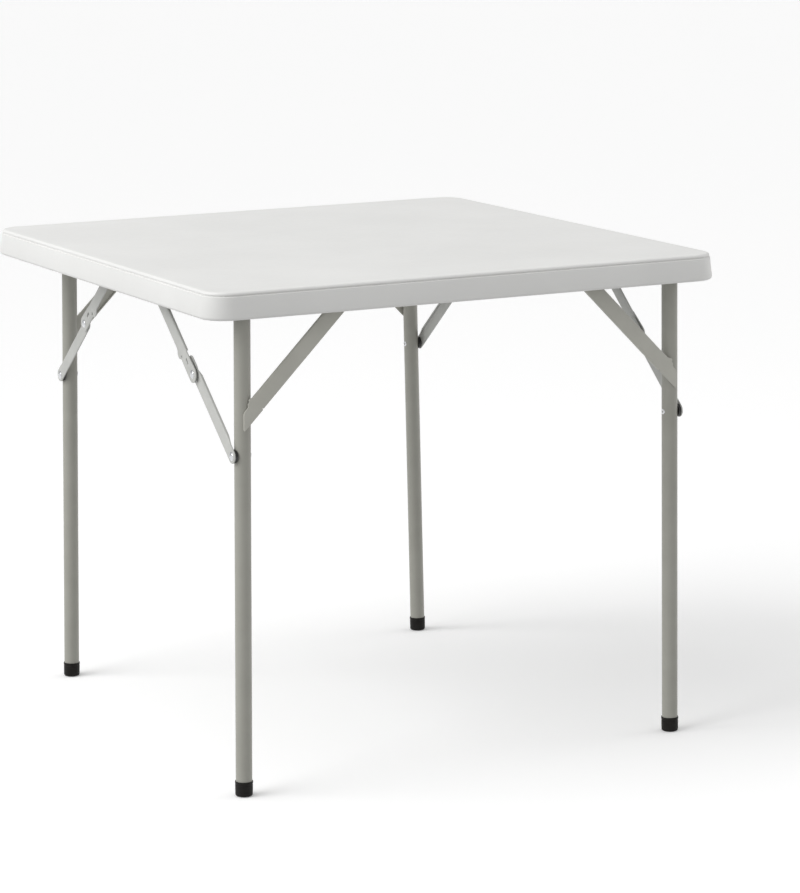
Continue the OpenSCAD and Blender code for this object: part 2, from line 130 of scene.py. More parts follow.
# %% Colour drift: two close shades that wander over a piece
drift, given, out = new_group("colour_drift", [
    ("Light", COLOUR, (0.8, 0.8, 0.8, 1)), ("Dark", COLOUR, (0.7, 0.7, 0.7, 1)), ("Size", FLOAT, 0.1),
], "Colour", COLOUR)
place = add_node(drift, "ShaderNodeTexCoord")
cloud = add_node(drift, "ShaderNodeTexNoise", [
    ("Vector", place.outputs["Object"]), ("Scale", inverse_of(drift, given.outputs["Size"])),
    ("Detail", 4.0), ("Roughness", 0.6),
])
spread = add_node(drift, "ShaderNodeMapRange", [
    ("Value", cloud.outputs["Fac"]), ("From Min", 0.35), ("From Max", 0.65),
])
mixed = mix_colours(drift, spread.outputs[0], given.outputs["Light"], given.outputs["Dark"])
drift.links.new(mixed, out.inputs["Colour"])
print("made group", drift.name)

# %% Pebble grain: the rounded cells of a moulded or sprayed skin
pebble, given, out = new_group("pebble_grain", [("Size", FLOAT, 0.001)], "Height", FLOAT)
place = add_node(pebble, "ShaderNodeTexCoord")
pace = inverse_of(pebble, given.outputs["Size"])
cells = add_node(pebble, "ShaderNodeTexVoronoi", [
    ("Vector", place.outputs["Object"]), ("Scale", pace), ("Smoothness", 1.0),
], feature="SMOOTH_F1")
speckle = add_node(pebble, "ShaderNodeTexNoise", [
    ("Vector", place.outputs["Object"]), ("Scale", pace), ("Detail", 2.0),
])
height = add_node(pebble, "ShaderNodeMath", [
    (0, cells.outputs["Distance"]), (1, speckle.outputs["Fac"]),
], operation="ADD")
pebble.links.new(height.outputs[0], out.inputs["Height"])
print("made group", pebble.name)

# %% Edge mask: finds corners by comparing the true normal with a rounded one
edge, given, out = new_group("edge_mask", [
    ("Radius", FLOAT, 0.0015), ("Breakup", FLOAT, 0.006),
], "Mask", FLOAT)
rounded = add_node(edge, "ShaderNodeBevel", [("Radius", given.outputs["Radius"])], samples=4)
surface = add_node(edge, "ShaderNodeNewGeometry")
match = add_node(edge, "ShaderNodeVectorMath", [
    (0, rounded.outputs[0]), (1, surface.outputs["Normal"]),
], operation="DOT_PRODUCT")
corner = add_node(edge, "ShaderNodeMapRange", [
    ("Value", match.outputs["Value"]), ("From Min", 0.98), ("From Max", 0.80),
    ("To Min", 0.0), ("To Max", 1.0),
])
place = add_node(edge, "ShaderNodeTexCoord")
patchy = add_node(edge, "ShaderNodeTexNoise", [
    ("Vector", place.outputs["Object"]), ("Scale", inverse_of(edge, given.outputs["Breakup"])),
    ("Detail", 3.0),
])
# The corner mask, broken up by noise.  The finishes lighten their edges with it, partly as wear and partly
# as a painted highlight.
edge_wear_and_highlight_mask = add_node(edge, "ShaderNodeMath", [
    (0, corner.outputs[0]), (1, patchy.outputs["Fac"]),
], operation="MULTIPLY")
edge.links.new(edge_wear_and_highlight_mask.outputs[0], out.inputs["Mask"])
print("made group", edge.name)

# %% Rub marks: fine streaks stretched along the height of a piece
rub, given, out = new_group("rub_marks", [
    ("Width", FLOAT, 0.003), ("Length", FLOAT, 0.06),
], "Mask", FLOAT)
place = add_node(rub, "ShaderNodeTexCoord")
across = inverse_of(rub, given.outputs["Width"])
along = inverse_of(rub, given.outputs["Length"])
pull = add_node(rub, "ShaderNodeCombineXYZ", [(0, across), (1, across), (2, along)])
stretched = add_node(rub, "ShaderNodeVectorMath", [
    (0, place.outputs["Object"]), (1, pull.outputs[0]),
], operation="MULTIPLY")
streaks = add_node(rub, "ShaderNodeTexNoise", [
    ("Vector", stretched.outputs[0]), ("Scale", 1.0), ("Detail", 5.0),
])
marks = add_node(rub, "ShaderNodeMapRange", [
    ("Value", streaks.outputs["Fac"]), ("From Min", 0.45), ("From Max", 0.75),
])
rub.links.new(marks.outputs[0], out.inputs["Mask"])
print("made group", rub.name)

# %% [markdown]
# ## Finishes
# A finish is one recipe with its own numbers: two shades, a grain size and depth, how rough it is
# and how much its edges lighten, partly as wear and partly as a painted highlight.  One function builds it,
# so all the finishes belong together.

# %% The recipe for a finish
def place_group(tree, group, **values):
    """Puts a shader group into a material's tree and sets its inputs."""
    return add_node(tree, "ShaderNodeGroup", values.items(), node_tree=group)


def finish(name, light, dark, edge_highlight_and_wear, drift_size, grain, depth, rough, metallic=0.0, specular=0.5,
           edge_radius=1.2, streak=(2.5, 60)):
    """A material.  Shades are linear colours, all sizes are in mm, rough is (clean, rubbed)."""
    made = bpy.data.materials.new(name)
    made.use_nodes = True
    tree = made.node_tree
    shader = tree.nodes["Principled BSDF"]
    shader.inputs["Metallic"].default_value = metallic
    shader.inputs["Specular IOR Level"].default_value = specular
    body = place_group(tree, drift, Light=(*light, 1), Dark=(*dark, 1), Size=drift_size * MM)
    # The lighter edge colour mixed in here is partly worn paint and partly a painted highlight on the edges.
    mask = place_group(tree, edge, Radius=edge_radius * MM)
    shade = mix_colours(tree, mask.outputs["Mask"], body.outputs["Colour"], (*edge_highlight_and_wear, 1))
    tree.links.new(shade, shader.inputs["Base Color"])
    rubbed = place_group(tree, rub, Width=streak[0] * MM, Length=streak[1] * MM)
    gloss = add_node(tree, "ShaderNodeMapRange", [
        ("Value", rubbed.outputs["Mask"]), ("To Min", rough[0]), ("To Max", rough[1]),
    ])
    tree.links.new(gloss.outputs[0], shader.inputs["Roughness"])
    skin = place_group(tree, pebble, Size=grain * MM)
    relief = add_node(tree, "ShaderNodeBump", [("Height", skin.outputs["Height"]), ("Distance", depth * MM)])
    tree.links.new(relief.outputs[0], shader.inputs["Normal"])
    return made


print("finish recipe ready")

# %% The finishes of this table
# Its lighter edge colour is a painted highlight along the rolled rim of the top.
plastic = finish(
    "off_white_polyethylene", light=(0.80, 0.80, 0.785), dark=(0.765, 0.765, 0.75),
    edge_highlight_and_wear=(0.86, 0.86, 0.85), drift_size=220, grain=1.3, depth=0.05, rough=(0.40, 0.50),
    specular=0.4, streak=(9, 14))
frame_paint = finish(
    "warm_grey_powder_coat", light=(0.36, 0.357, 0.318), dark=(0.33, 0.327, 0.290),
    edge_highlight_and_wear=(0.44, 0.435, 0.39), drift_size=60, grain=0.7, depth=0.03, rough=(0.38, 0.47))
# The same powder coat as the legs, painted lighter to stand in for the light on the flat brace fronts.
brace_lit_copy_of_frame_paint = finish(
    "warm_grey_powder_coat_lit_copy", light=(0.51, 0.505, 0.455), dark=(0.475, 0.47, 0.422),
    edge_highlight_and_wear=(0.60, 0.595, 0.55), drift_size=60, grain=0.7, depth=0.03, rough=(0.36, 0.45))
link_paint = finish(
    "light_grey_powder_coat", light=(0.515, 0.52, 0.497), dark=(0.475, 0.48, 0.458),
    edge_highlight_and_wear=(0.70, 0.70, 0.68), drift_size=40, grain=0.6, depth=0.025, rough=(0.34, 0.44),
    edge_radius=0.8)
zinc = finish(
    "bright_zinc", light=(0.72, 0.73, 0.74), dark=(0.60, 0.61, 0.63), edge_highlight_and_wear=(0.85, 0.85, 0.85),
    drift_size=4, grain=0.5, depth=0.02, rough=(0.22, 0.40), metallic=1.0, edge_radius=0.5,
    streak=(0.8, 3))
black_cap = finish(
    "black_moulded_cap", light=(0.009, 0.008, 0.007), dark=(0.014, 0.013, 0.012),
    edge_highlight_and_wear=(0.035, 0.033, 0.031), drift_size=9, grain=0.6, depth=0.04, rough=(0.46, 0.62),
    specular=0.15, streak=(1.5, 5))
nylon = finish(
    "black_nylon", light=(0.012, 0.012, 0.012), dark=(0.02, 0.02, 0.02), edge_highlight_and_wear=(0.04, 0.04, 0.04),
    drift_size=6, grain=0.4, depth=0.02, rough=(0.30, 0.42), edge_radius=0.6, streak=(1, 4))
FINISHES = (plastic, frame_paint, brace_lit_copy_of_frame_paint, link_paint, zinc, black_cap, nylon)
print("finishes:", ", ".join(m.name for m in FINISHES))

# %% [markdown]
# ## Mesh helpers
# Almost everything here is one of three shapes: a turned piece, a pressed sheet with softened
# edges, or a bead laid along a line.  Each has one helper.  All of them are drawn for the front
# right corner and mirrored to the other three, as the real parts are made in left and right hands.

# %% Faces between rings of points
def skin_rings(bm, low, high):
    """Faces between two rings of the same count, or between a ring and a single point."""
    if len(low) == 1 and len(high) == 1:
        return
    count = max(len(low), len(high))
    for k in range(count):
        n = (k + 1) % count
        corners = [low[k % len(low)], low[n % len(low)], high[n % len(high)], high[k % len(high)]]
        bm.faces.new(list(dict.fromkeys(corners)))


def skin_row(bm, rings, capped=False):
    """Faces along a row of rings, and over both ends if capped."""
    for low, high in zip(rings, rings[1:]):
        skin_rings(bm, low, high)
    if capped:
        bm.faces.new(rings[0])
        bm.faces.new(rings[-1])


def ring_edges(bm, ring):
    return [bm.edges.get((ring[k - 1], ring[k])) for k in range(len(ring))]


print("ring helpers ready")

# %% Turned pieces
def circle_angles(count):
    return [math.tau * k / count for k in range(count)]


def turned(bm, profile, axis, closed=False, segments=56):
    """Turns (radius, height) points about the Z line of the axis matrix.  Returns the first ring."""
    rings = []
    for radius, height in profile:
        angles = circle_angles(segments) if radius > 0 else [0]
        rings.append([
            bm.verts.new(axis @ Vector((radius * math.cos(a), radius * math.sin(a), height))) for a in angles
        ])
    skin_row(bm, rings)
    if closed:
        skin_rings(bm, rings[-1], rings[0])
    return rings[0]


def arc(cx, cy, r, start, stop, steps=8):
    """Points along an arc, with its angles in degrees."""
    turn = [math.radians(start + (stop - start) * k / steps) for k in range(steps + 1)]
    return [(cx + r * math.cos(a), cy + r * math.sin(a)) for a in turn]


print("turned pieces ready")

# %% Sheets with soft edges
SOFT_STEPS = 3
MITRE_LIMIT = 0.4


def inset_loop(loop, distance):
    """Moves an anticlockwise outline inward, and a clockwise hole outward, by a distance."""
    moved = []
    for k, point in enumerate(loop):
        before, here, after = Vector(loop[k - 1]), Vector(point), Vector(loop[(k + 1) % len(loop)])
        t0, t1 = (here - before).normalized(), (after - here).normalized()
        n0, n1 = Vector((-t0.y, t0.x)), Vector((-t1.y, t1.x))
        mitre = (n0 + n1).normalized()
        moved.append(here + mitre * distance / max(mitre.dot(n0), MITRE_LIMIT))
    return moved


def pressed(bm, loops, thickness, soft, to_world):
    """A sheet from its outline and holes, softened round every edge, placed by to_world(u, v, w)."""
    quarter = [math.radians(90 * k / SOFT_STEPS) for k in range(SOFT_STEPS + 1)]
    layers = [(soft * (1 - math.sin(a)), soft * (1 - math.cos(a))) for a in quarter]
    layers += [(inset, thickness - w) for inset, w in reversed(layers)]
    back, face = [], []
    for loop in loops:
        rings = []
        for inset, w in layers:
            rings.append([bm.verts.new(to_world(p[0], p[1], w)) for p in inset_loop(loop, inset)])
        skin_row(bm, rings)
        back += ring_edges(bm, rings[0])
        face += ring_edges(bm, rings[-1])
    for edges in (back, face):
        bmesh.ops.triangle_fill(bm, use_beauty=True, use_dissolve=False, edges=edges)


print("pressed sheets ready")

# %% Folded lips
INNER_FACE = 0.9


def folded_lip(bm, start, stop, edge_v, depth, sheet, to_world, run=(2 * MM, 2 * MM)):
    """A strip bent over the edge at v = edge_v, from the outer face of the sheet down by depth.

    Each end grows from the sheet's own thickness over a run, given as (first, last).  The inside
    is set at INNER_FACE of the thickness, so the strip stays within the sheet that it grows from.
    """
    inward = -1 if edge_v > 0 else 1
    bend = 1.1 * sheet
    inner = sheet * INNER_FACE
    outside = [(edge_v + inward * (bend - x), sheet - bend + z) for x, z in arc(0, 0, bend, 90, 0, 6)]
    inside = [(v + inward * inner, min(w, sheet - inner)) for v, w in reversed(outside[1:])]
    section = [*outside, (edge_v, sheet - depth), (edge_v + inward * inner, sheet - depth), *inside]
    shallow = sheet / depth
    rings = []
    for u, squeeze in ((start, shallow), (start + run[0], 1.0), (stop - run[1], 1.0), (stop, shallow)):
        rings.append([bm.verts.new(to_world(u, v, sheet - (sheet - w) * squeeze)) for v, w in section])
    skin_row(bm, rings, capped=True)


print("folded lips ready")

# %% Weld beads
RIPPLE, RIPPLE_STEPS = 1.6 * MM, 4
SWELL = 0.16
PINCH_RINGS, PINCH_TIP = 4, 0.3


def bead(bm, start, stop, radius, sides=8):
    """A weld bead: a rippled tube along a straight line, with pinched ends."""
    steps = round((stop - start).length / (RIPPLE / RIPPLE_STEPS))
    turn = (stop - start).to_track_quat("Z", "Y").to_matrix()
    rings = []
    for k in range(steps + 1):
        swell = radius * (1 + SWELL * math.sin(math.tau * k / RIPPLE_STEPS))
        pinch = min(1, math.sqrt((min(k, steps - k) + PINCH_TIP) / PINCH_RINGS))
        here = start.lerp(stop, k / steps)
        rings.append([
            bm.verts.new(here + turn @ Vector((math.cos(a), math.sin(a), 0)) * swell * pinch)
            for a in circle_angles(sides)
        ])
    skin_row(bm, rings, capped=True)


print("weld beads ready")

# %% Putting a piece in its place
SHARP = math.radians(38)
CORNERS = [(left, rear) for rear in (False, True) for left in (False, True)]


def names(left, rear):
    return ("rear" if rear else "front"), ("left" if left else "right")


def add_piece(name, bm, finish_used, body, replaced=(), left=False, rear=False):
    """Mirrors a front-right piece to its corner, softens its shading and lets it ride on its body."""
    side = Vector((-1 if left else 1, -1 if rear else 1, 1))
    for vert in bm.verts:
        vert.co = vert.co * side
    bm.normal_update()
    bmesh.ops.recalc_face_normals(bm, faces=bm.faces)
    for face in bm.faces:
        face.smooth = True
    for line in bm.edges:
        line.smooth = len(line.link_faces) == 2 and line.calc_face_angle() < SHARP
    mesh = bpy.data.meshes.new(name)
    bm.to_mesh(mesh)
    bm.free()
    mesh.materials.append(finish_used)
    piece = bpy.data.objects.new(name, mesh)
    bpy.context.scene.collection.objects.link(piece)
    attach(piece, body)
    if replaced:
        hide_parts(*replaced)
    return piece


print("corners:", [" ".join(names(*c)) for c in CORNERS])

# %% [markdown]
# ## The moulded top
# The real top is blown from one hollow tube of plastic.  Its rim leans out a little towards the
# lower edge, a fine crease runs under the rolled top edge, and the underside is pulled up into
# round pockets that meet the top skin and stiffen it.  Loops of points round a rounded square
# give the rim.  The underside is filled round a ring for every pocket.

# %% Sizes of the top
top_lo, top_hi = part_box("tabletop")
HALF = top_hi.x
TOP_Z, RIM_Z = top_hi.z, top_lo.z
UNDER_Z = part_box("left_rail")[1].z
CORNER_R = 40 * MM
DRAFT, INNER_DRAFT = 3.5 * MM, 3 * MM
ROLL_R, LIP_R, FILLET_R = 4.4 * MM, 5 * MM, 3 * MM
RIM_W = 14 * MM
CREASE = 0.9 * MM
FLAT_RUN = 3 * MM
print("top", round(2 * HALF, 3), "m square, slab", round((TOP_Z - UNDER_Z) * 1000, 1), "mm")

# %% Rim profile, as (inset from the widest line, height)
roll_in = DRAFT + CREASE + ROLL_R
crease_z = TOP_Z - ROLL_R
groove = DRAFT + CREASE + 1.2 * MM
inner_wall = RIM_W + INNER_DRAFT + FILLET_R
profile = [(inner_wall + FLAT_RUN, UNDER_Z)]
profile += arc(inner_wall, UNDER_Z - FILLET_R, FILLET_R, 90, 176, 6)
profile += arc(RIM_W - FILLET_R, RIM_Z + FILLET_R, FILLET_R, 0, -90, 6)
profile += arc(LIP_R, RIM_Z + LIP_R, LIP_R, -90, -175, 8)
profile += [(DRAFT - 0.1 * MM, crease_z - 2.6 * MM), (DRAFT + 0.4 * MM, crease_z - 2.1 * MM)]
profile += [(groove, crease_z - 1.7 * MM), (groove, crease_z - 0.8 * MM)]
profile += [(DRAFT + CREASE + 0.3 * MM, crease_z - 0.2 * MM)]
profile += arc(roll_in, crease_z, ROLL_R, 174, 90, 9)
profile += [(roll_in + FLAT_RUN, TOP_Z)]
print("rim profile has", len(profile), "points")

# %% A ring round the rounded square
QUARTER_STEPS = 14


def square_ring(bm, inset, z):
    """A loop of points round the rounded square, at an inset from its widest line and a height."""
    reach, radius = HALF - CORNER_R, CORNER_R - inset
    ring = []
    for corner_x, corner_y, start in ((1, 1, 0), (-1, 1, 90), (-1, -1, 180), (1, -1, 270)):
        quarter = arc(corner_x * reach, corner_y * reach, radius, start, start + 90, QUARTER_STEPS)
        ring += [bm.verts.new((x, y, z)) for x, y in quarter]
    return ring


print("each ring has", 4 * (QUARTER_STEPS + 1), "points")

# %% Pockets in the underside
POCKET_PITCH = 80 * MM
COLUMNS, ROWS = 8, 10
MOUTH_R, FLOOR_R, POCKET_SOFT = 16 * MM, 8.8 * MM, 2.2 * MM
TOP_SKIN = 2.5 * MM
POCKET_DEPTH = TOP_Z - UNDER_Z - TOP_SKIN
BLOW_R, BLOW_DEPTH, BLOW_SOFT = 3 * MM, 8 * MM, 0.8 * MM
MOUTH_LAND = 1.5 * MM


def pocket(bm, x, y, mouth, floor_r, depth, soften):
    """A round pocket upward from the underside.  Returns the edges of its outermost ring."""
    lean = math.degrees(math.atan2(depth, mouth - floor_r))
    wall = arc(mouth + soften, soften, soften, -90, -90 - lean, 5)
    tip = arc(floor_r - soften, depth - soften, soften, 90 - lean, 90, 4)
    shape = [(mouth + soften + MOUTH_LAND, 0), *wall, *tip, (0, depth)]
    return ring_edges(bm, turned(bm, shape, Matrix.Translation((x, y, UNDER_Z)), segments=32))


print("pockets", round(POCKET_DEPTH * 1000, 1), "mm deep")

# %% Build the top
bm = bmesh.new()
rings = [square_ring(bm, inset, z) for inset, z in profile]
skin_row(bm, rings)
bm.faces.new(rings[-1])
openings = ring_edges(bm, rings[0])
for i in range(COLUMNS):
    for j in range(ROWS):
        x, y = (i - (COLUMNS - 1) / 2) * POCKET_PITCH, (j - (ROWS - 1) / 2) * POCKET_PITCH
        openings += pocket(bm, x, y, MOUTH_R, FLOOR_R, POCKET_DEPTH, POCKET_SOFT)
openings += pocket(bm, 0, 0, BLOW_R, BLOW_R - 0.1 * MM, BLOW_DEPTH, BLOW_SOFT)
bmesh.ops.triangle_fill(bm, use_beauty=True, use_dissolve=False, edges=openings)
top = add_piece("moulded_top", bm, plastic, "top", ["tabletop"])
print("top has", len(top.data.vertices), "points,", COLUMNS * ROWS, "pockets and a blow hole")

# %% [markdown]
# ## Legs, cross tubes and feet
# The legs are plain tubes that lean outward a little.  A tube is a closed profile turned about its
# own line, so its cut ends and its wall are real.  The feet are black cups with a stepped rim and
# a soft sole.

# %% The line of a leg, worked out from its own box
def leg_line(rear):
    """The centre line of a right-hand leg, as if at the front: its foot, its head and its radius."""
    lo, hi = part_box(f"{names(False, rear)[0]}_right_leg")
    radius = (hi.y - lo.y) / 2
    y = -abs(hi.y + lo.y) / 2
    return Vector((hi.x - radius, y, 0)), Vector((lo.x + radius, y, hi.z)), radius


def leg_axis(rear):
    foot, head, radius = leg_line(rear)
    return Matrix.Translation(foot) @ (head - foot).to_track_quat("Z", "Y").to_matrix().to_4x4()


print("leg radius", round(leg_line(False)[2] * 1000, 2), "mm")

# %% Leg tubes
WALL, EASE = 1.5 * MM, 0.4 * MM
LEG_START, LEG_SHORT = 4 * MM, 0.8 * MM


def tube_profile(radius, start, stop):
    """A tube's wall from start to stop, with both outer edges eased."""
    return [
        (radius - WALL, start), (radius - EASE, start), (radius, start + EASE),
        (radius, stop - EASE), (radius - EASE, stop), (radius - WALL, stop),
    ]


for left, rear in CORNERS:
    rank, hand = names(left, rear)
    foot, head, leg_r = leg_line(rear)
    length = (head - foot).length
    bm = bmesh.new()
    turned(bm, tube_profile(leg_r, LEG_START, length - LEG_SHORT), leg_axis(rear), closed=True)
    add_piece(f"{rank}_{hand}_leg_tube", bm, frame_paint, f"{rank}_frame",
              [f"{rank}_{hand}_leg"], left, rear)
print("legs", round(length * 1000, 1), "mm long")

# %% Foot caps
CAP_WALL = 1.5 * MM
SOLE_Z, SOLE_R = 0.6 * MM, 2.7 * MM


def cap_profile(leg_r, tall):
    """From the middle of the sole, up the wall with its moulded step, over the rim and down inside."""
    out_r = leg_r + CAP_WALL
    sole = [(0, SOLE_Z), (out_r - 5.5 * MM, SOLE_Z)]
    sole += arc(out_r - 3.4 * MM, 3.2 * MM, SOLE_R, -85, -8, 7)
    step = [
        (out_r - 0.5 * MM, tall - 6.4 * MM), (out_r - 1.0 * MM, tall - 6.0 * MM),
        (out_r - 1.0 * MM, tall - 5.0 * MM), (out_r - 0.45 * MM, tall - 4.5 * MM),
        (out_r - 0.3 * MM, tall - 2.2 * MM),
    ]
    rim = arc(out_r - 0.9 * MM, tall - 1.1 * MM, 0.6 * MM, 10, 110, 5)
    inside_r = leg_r + 0.1 * MM
    return sole + step + rim + [(inside_r, tall - 1.6 * MM), (inside_r, LEG_START), (0, LEG_START)]


for left, rear in CORNERS:
    rank, hand = names(left, rear)
    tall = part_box(f"{rank}_{hand}_foot")[1].z
    bm = bmesh.new()
    turned(bm, cap_profile(leg_line(rear)[2], tall), leg_axis(rear))
    add_piece(f"{rank}_{hand}_foot_cap", bm, black_cap, f"{rank}_frame",
              [f"{rank}_{hand}_foot"], left, rear)
print("foot caps", round(tall * 1000, 1), "mm tall")

# %% Cross tubes
def crosswise(x, y, z):
    """A line along X through a point, for pieces turned about it."""
    return Matrix.Translation((x, y, z)) @ Matrix.Rotation(math.pi / 2, 4, "Y")


for rank in ("front", "rear"):
    lo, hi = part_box(f"{rank}_axle")
    axle_r, span = (hi.z - lo.z) / 2, hi.x - lo.x
    axis = crosswise(lo.x, (lo.y + hi.y) / 2, (lo.z + hi.z) / 2)
    bm = bmesh.new()
    turned(bm, tube_profile(axle_r, 0, span), axis, closed=True, segments=40)
    add_piece(f"{rank}_cross_tube", bm, frame_paint, f"{rank}_frame", [f"{rank}_axle"])
print("cross tubes", round(span * 1000, 1), "mm long")

# %% [markdown]
# ## The folding braces
# Each brace is two pressed links.  The upper one widens into a knee plate with a hole and a slot,
# and its rivet holds the lower one, whose end runs on behind the plate and stops the knee from
# going over centre.  One long edge of each link is folded in for stiffness.  The outlines are
# drawn flat, along the link and across it, and then stood in the plane of the brace.

# %% Where a brace lies
LINK_T = 2 * MM
Brace = namedtuple("Brace", "rivet knee pivot lower_face upper_face")


def brace_facts(rear):
    """A right-hand brace, as if at the front: (y, z) of its three pins, and its links' outer faces."""
    rank = names(False, rear)[0]
    lo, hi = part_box(f"{rank}_right_link_rivet")
    knee = joints[f"{rank}_right_knee"]["pos_m"]
    pivot = joints[f"{rank}_right_upper_pivot"]["pos_m"]
    return Brace(
        rivet=(-abs(lo.y + hi.y) / 2, (lo.z + hi.z) / 2),
        knee=(-abs(knee[1]), knee[2]),
        pivot=(-abs(pivot[1]), pivot[2]),
        lower_face=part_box(f"{rank}_right_lower_link")[1].x,
        upper_face=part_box(f"{rank}_right_upper_link")[1].x,
    )


def in_plane(start, end, outer_face):
    """A map of (along, across, out) to the world for a link from start to end, and its length."""
    span = Vector((0, end[0] - start[0], end[1] - start[1]))
    u = span.normalized()
    v = Vector((0, -u.z, u.y))
    base = Vector((outer_face - LINK_T, start[0], start[1]))

    def to_world(along, across, out):
        return base + u * along + v * across + Vector((out, 0, 0))

    return to_world, span.length


print("front brace:", [round(c, 4) for pin in brace_facts(False)[:3] for c in pin])

# %% What both links share
LINK_HALF = 10.5 * MM
PIN_R = 4 * MM
LIP_DEPTH = 4.5 * MM
EDGE_CUT, EDGE_STEP = 2.0 * MM, 1 * MM
LINK_SOFT = 0.55 * MM


def round_hole(u, v, r):
    return arc(u, v, r, 360, 15, 23)


def under_lip(first, last):
    """The long edge, drawn from the last end to the first, cut back where the lip covers it."""
    low = LINK_HALF - EDGE_CUT
    return [(last, LINK_HALF), (last - EDGE_STEP, low), (first + EDGE_STEP, low), (first, LINK_HALF)]


def clean_loop(points):
    """Drops points that lie on top of their neighbour."""
    return [p for k, p in enumerate(points) if (Vector(p) - Vector(points[k - 1])).length > 0.02 * MM]


print("links are", round(2 * LINK_HALF * 1000, 1), "mm wide")

# %% Lower links
LOWER_LIP_FIRST, LOWER_LIP_SHORT = 14 * MM, 2 * MM
LOWER_LIP_RUN = (16 * MM, 9 * MM)
TAIL_L, TOE_R, HEEL_R = 30 * MM, 5 * MM, 8 * MM


def lower_outline(length, lip):
    """Round at the rivet, then past the knee to the tail that stops behind the plate, and back."""
    outline = arc(0, 0, LINK_HALF, 90, 270, 16)
    outline += arc(length, 0, LINK_HALF, -90, -12, 8)
    outline += arc(length + TAIL_L - TOE_R, 3 * MM, TOE_R, -90, 0, 6)
    outline += arc(length + TAIL_L - HEEL_R, 4 * MM, HEEL_R, 0, 90, 8)
    outline += [(length + 5 * MM, LINK_HALF + 1.5 * MM)]
    return clean_loop(outline + under_lip(*lip))


for left, rear in CORNERS:
    rank, hand = names(left, rear)
    brace = brace_facts(rear)
    to_world, length = in_plane(brace.rivet, brace.knee, brace.lower_face)
    lip = (LOWER_LIP_FIRST, length - LOWER_LIP_SHORT)
    holes = [round_hole(0, 0, PIN_R), round_hole(length, 0, PIN_R)]
    bm = bmesh.new()
    pressed(bm, [lower_outline(length, lip), *holes], LINK_T, LINK_SOFT, to_world)
    folded_lip(bm, *lip, LINK_HALF, LIP_DEPTH, LINK_T, to_world, LOWER_LIP_RUN)
    add_piece(f"{rank}_{hand}_lower_strut", bm, link_paint, f"{rank}_{hand}_lower",
              [f"{rank}_{hand}_lower_link"], left, rear)
print("lower link", round(length * 1000, 1), "mm between centres")

# %% Upper links with their knee plates
UPPER_LIP_FIRST, UPPER_LIP_SHORT = 36 * MM, 14 * MM
PLATE_R = LINK_HALF + 2 * MM
BELLY_U, BELLY_V, BELLY_R = 48 * MM, -6.5 * MM, 10 * MM
SLOT_R, SMALL_HOLE_R = 1.7 * MM, 2.2 * MM


def upper_outline(length, lip):
    """Round the knee plate, along its belly, round the pivot's end and back along the lip."""
    outline = arc(0, 0, PLATE_R, 92, 268, 20)
    outline += [(30 * MM, -LINK_HALF - 1.4 * MM)]
    outline += arc(BELLY_U, BELLY_V, BELLY_R, -150, -30, 12)
    outline += [(62 * MM, -LINK_HALF)]
    outline += arc(length, 0, LINK_HALF, -90, 90, 16)
    return clean_loop(outline + under_lip(*lip))


for left, rear in CORNERS:
    rank, hand = names(left, rear)
    brace = brace_facts(rear)
    to_world, length = in_plane(brace.knee, brace.pivot, brace.upper_face)
    lip = (UPPER_LIP_FIRST, length - UPPER_LIP_SHORT)
    slot = arc(20.5 * MM, 1.1 * MM, SLOT_R, 270, 90, 8) + arc(27 * MM, 2.0 * MM, SLOT_R, 90, -90, 8)
    holes = [round_hole(0, 0, PIN_R), round_hole(length, 0, PIN_R)]
    holes += [round_hole(40 * MM, -7 * MM, SMALL_HOLE_R), slot]
    bm = bmesh.new()
    pressed(bm, [upper_outline(length, lip), *holes], LINK_T, LINK_SOFT, to_world)
    folded_lip(bm, *lip, LINK_HALF, LIP_DEPTH, LINK_T, to_world)
    add_piece(f"{rank}_{hand}_upper_strut", bm, link_paint, f"{rank}_{hand}_upper",
              [f"{rank}_{hand}_upper_link"], left, rear)
print("upper link", round(length * 1000, 1), "mm between centres")

# %% [markdown]
# ## Rivets
# A set rivet has a low dome with a soft shoulder.  Its profile is turned about the pin's line.  The
# knee rivet also carries the spacer collar between the two links.  The leg rivet is in two pieces:
# a tubular shank that stays in the leg, and an outer head that stays with the lower link.

# %% A domed head
HEAD_R, HEAD_H = 6.5 * MM, 2.4 * MM
SHOULDER = 0.2 * MM


def dome(base):
    """A domed head standing at a height, from its rim to the crown."""
    rise = (HEAD_R * HEAD_R + HEAD_H * HEAD_H) / (2 * HEAD_H)
    start = math.degrees(math.asin((rise - HEAD_H) / rise))
    crown = arc(0, base + HEAD_H - rise, rise, start + 6, 89, 8)
    return [(HEAD_R - SHOULDER, base), (HEAD_R, base + SHOULDER), *crown, (0, base + HEAD_H)]


print("rivet heads", round(2 * HEAD_R * 1000, 1), "mm across")

# %% Knee rivets and the heads of the leg rivets
COLLAR_R, PLAY = 6 * MM, 0.3 * MM
SET_R, SET_T, SET_BEVEL = 4.6 * MM, 1.6 * MM, 0.7 * MM


def knee_profile(reach):
    """The set end, the pin, the collar between the links, and a head whose seat is at reach."""
    set_z = -PLAY - SET_T
    set_end = [(0, set_z), (SET_R, set_z), (COLLAR_R, set_z + SET_BEVEL), (COLLAR_R, -PLAY), (PIN_R, -PLAY)]
    low, high = LINK_T + PLAY, reach - LINK_T
    collar = [(PIN_R, low), (COLLAR_R, low), (COLLAR_R, high), (PIN_R, high)]
    return [*set_end, *collar, (PIN_R, reach), *dome(reach)]


